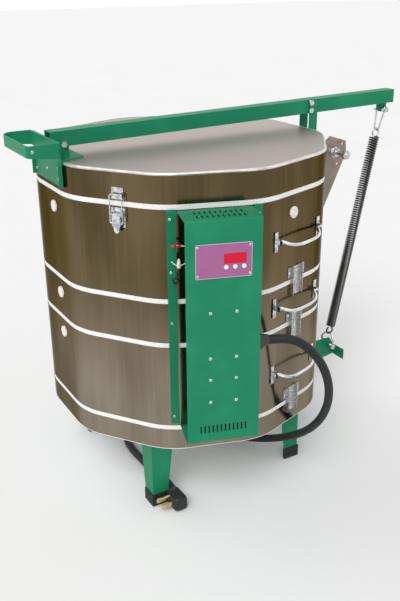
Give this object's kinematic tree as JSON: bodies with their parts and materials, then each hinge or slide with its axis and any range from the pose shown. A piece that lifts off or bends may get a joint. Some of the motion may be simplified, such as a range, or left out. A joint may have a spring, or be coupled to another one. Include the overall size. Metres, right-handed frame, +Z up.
{
  "type": "electric kiln",
  "caption": "Ten-sided electric kiln with stacked brick rings in steel jackets, a spring-lifted hinged lid, a side control box and a low stand.",
  "frame": {"origin": "middle of the chamber floor, on top of the floor slab", "axes": "+X to the right, +Y to the back where the lid is hinged, +Z up"},
  "size_m": [0.9008, 1.1833, 1.0068],
  "materials": {
    "brick": "matte",
    "steel_jacket": "bright rolled",
    "lid_sheet": "satin",
    "green_paint": "powder coat",
    "chrome": "polished",
    "zinc": "zinc plated",
    "hinge_steel": "bare",
    "spring_steel": "oiled",
    "rubber": "matte",
    "plug_rubber": "satin",
    "brass": "polished",
    "plug_ceramic": "matte",
    "element_wire": "oxidised",
    "controller_paint": "satin",
    "display": "gloss",
    "button_white": "satin",
    "board": "satin",
    "relay_black": "satin",
    "wire_red": "satin",
    "gland_plastic": "satin"
  },
  "bodies": {
    "kiln": {"box_mount_strips": "green_paint", "brick_ring_lower": "brick", "brick_ring_middle": "brick", "brick_ring_upper": "brick", "cable_gland": "gland_plastic", "circuit_board": "board", "control_box_cover": "green_paint", "controller_plate": "controller_paint", "display_window": "display", "element_terminals": "plug_ceramic", "floor_band": "steel_jacket", "floor_slab": "brick", "frame_fasteners": "zinc", "guide_brackets": "zinc", "handle_plates": "chrome", "heating_elements": "element_wire", "hinge_bracket": "hinge_steel", "hinge_rod": "zinc", "jacket_lower": "steel_jacket", "jacket_middle": "steel_jacket", "jacket_upper": "steel_jacket", "latch_base": "chrome", "plug_blades": "brass", "power_cord": "rubber", "power_plug": "plug_rubber", "relays_and_transformer": "relay_black", "spring_bracket": "green_paint", "stand_feet": "rubber", "stand_frame": "green_paint", "stand_legs": "green_paint", "thermocouple": "plug_ceramic", "wiring_harness": "wire_red"},
    "lid": {"lid_slab": "brick", "lid_band": "steel_jacket", "lid_top_sheet": "lid_sheet", "lift_arm": "green_paint", "arm_uprights": "green_paint", "lid_bracket": "green_paint", "lid_handle": "green_paint", "lid_fasteners": "zinc", "latch_keeper": "chrome", "spring_tab": "green_paint"},
    "link": {"top_link": "zinc"},
    "spring": {"lift_spring": "spring_steel", "spring_shackle": "zinc"},
    "latch_lever": {"latch_lever": "chrome"},
    "latch_bail": {"latch_bail": "chrome"},
    "upper_front_plug": {"upper_peephole_plug": "plug_ceramic"},
    "middle_front_plug": {"middle_peephole_plug": "plug_ceramic"},
    "lower_front_plug": {"lower_peephole_plug": "plug_ceramic"},
    "side_plug": {"side_peephole_plug": "plug_ceramic"},
    "button_one": {"button_1": "button_white"},
    "button_two": {"button_2": "button_white"},
    "button_three": {"button_3": "button_white"},
    "upper_right_bail": {"upper_right_handle": "chrome"},
    "upper_left_bail": {"upper_left_handle": "chrome"},
    "middle_right_bail": {"middle_right_handle": "chrome"},
    "middle_left_bail": {"middle_left_handle": "chrome"},
    "lower_right_bail": {"lower_right_handle": "chrome"},
    "lower_left_bail": {"lower_left_handle": "chrome"}
  },
  "joints": [
    {"name": "lid_hinge", "type": "hinge", "parent": "kiln", "child": "lid", "pos_m": [0, 0.416, 0.5885], "axis": [-1, 0, 0], "range_deg": [0, 90]},
    {"name": "spring_swing", "type": "hinge", "parent": "kiln", "child": "spring", "pos_m": [0, 0.534, -0.0855], "axis": [1, 0, 0], "range_deg": [0, 17.6], "deforming": ["lift_spring"]},
    {"name": "link_pivot", "type": "hinge", "parent": "lid", "child": "link", "pos_m": [0, 0.6925, 0.66681], "axis": [1, 0, 0], "range_deg": [0, 107.6]},
    {"name": "latch_lever_pivot", "type": "hinge", "parent": "kiln", "child": "latch_lever", "pos_m": [0.23454, -0.3024, 0.546], "axis": [-0.809, -0.5878, 0], "range_deg": [0, 140]},
    {"name": "latch_bail_pivot", "type": "hinge", "parent": "latch_lever", "child": "latch_bail", "pos_m": [0.23659, -0.30523, 0.527], "axis": [0.809, 0.5878, 0], "range_deg": [0, 140]},
    {"name": "upper_right_handle_swing", "type": "hinge", "parent": "kiln", "child": "upper_right_bail", "pos_m": [0.36414, 0.12357, 0.463], "axis": [0.309, -0.9511, 0], "range_deg": [0, 100]},
    {"name": "upper_left_handle_swing", "type": "hinge", "parent": "kiln", "child": "upper_left_bail", "pos_m": [-0.36414, -0.12357, 0.463], "axis": [-0.309, 0.9511, 0], "range_deg": [0, 100]},
    {"name": "middle_right_handle_swing", "type": "hinge", "parent": "kiln", "child": "middle_right_bail", "pos_m": [0.36414, 0.12357, 0.292], "axis": [0.309, -0.9511, 0], "range_deg": [0, 100]},
    {"name": "middle_left_handle_swing", "type": "hinge", "parent": "kiln", "child": "middle_left_bail", "pos_m": [-0.36414, -0.12357, 0.292], "axis": [-0.309, 0.9511, 0], "range_deg": [0, 100]},
    {"name": "lower_right_handle_swing", "type": "hinge", "parent": "kiln", "child": "lower_right_bail", "pos_m": [0.36414, 0.12357, 0.108], "axis": [0.309, -0.9511, 0], "range_deg": [0, 100]},
    {"name": "lower_left_handle_swing", "type": "hinge", "parent": "kiln", "child": "lower_left_bail", "pos_m": [-0.36414, -0.12357, 0.108], "axis": [-0.309, 0.9511, 0], "range_deg": [0, 100]},
    {"name": "upper_front_plug_slide", "type": "slide", "parent": "kiln", "child": "upper_front_plug", "axis": [0, -1, 0], "range_m": [0, 0.09]},
    {"name": "middle_front_plug_slide", "type": "slide", "parent": "kiln", "child": "middle_front_plug", "axis": [0, -1, 0], "range_m": [0, 0.09]},
    {"name": "lower_front_plug_slide", "type": "slide", "parent": "kiln", "child": "lower_front_plug", "axis": [0, -1, 0], "range_m": [0, 0.09]},
    {"name": "side_plug_slide", "type": "slide", "parent": "kiln", "child": "side_plug", "axis": [0.9511, 0.309, 0], "range_m": [0, 0.09]},
    {"name": "button_one_press", "type": "slide", "parent": "kiln", "child": "button_one", "axis": [-0.9511, 0.309, 0], "range_m": [0, 0.0012], "stiffness_N_per_m": 800, "springref_m": -0.0005},
    {"name": "button_two_press", "type": "slide", "parent": "kiln", "child": "button_two", "axis": [-0.9511, 0.309, 0], "range_m": [0, 0.0012], "stiffness_N_per_m": 800, "springref_m": -0.0005},
    {"name": "button_three_press", "type": "slide", "parent": "kiln", "child": "button_three", "axis": [-0.9511, 0.309, 0], "range_m": [0, 0.0012], "stiffness_N_per_m": 800, "springref_m": -0.0005}
  ],
  "couplings": [
    {"joint": "spring_swing", "follows": "lid_hinge", "ratio": 0.19554},
    {"joint": "link_pivot", "follows": "lid_hinge", "ratio": 1.1955},
    {"joint": "latch_bail_pivot", "follows": "latch_lever_pivot", "ratio": 1}
  ]
}
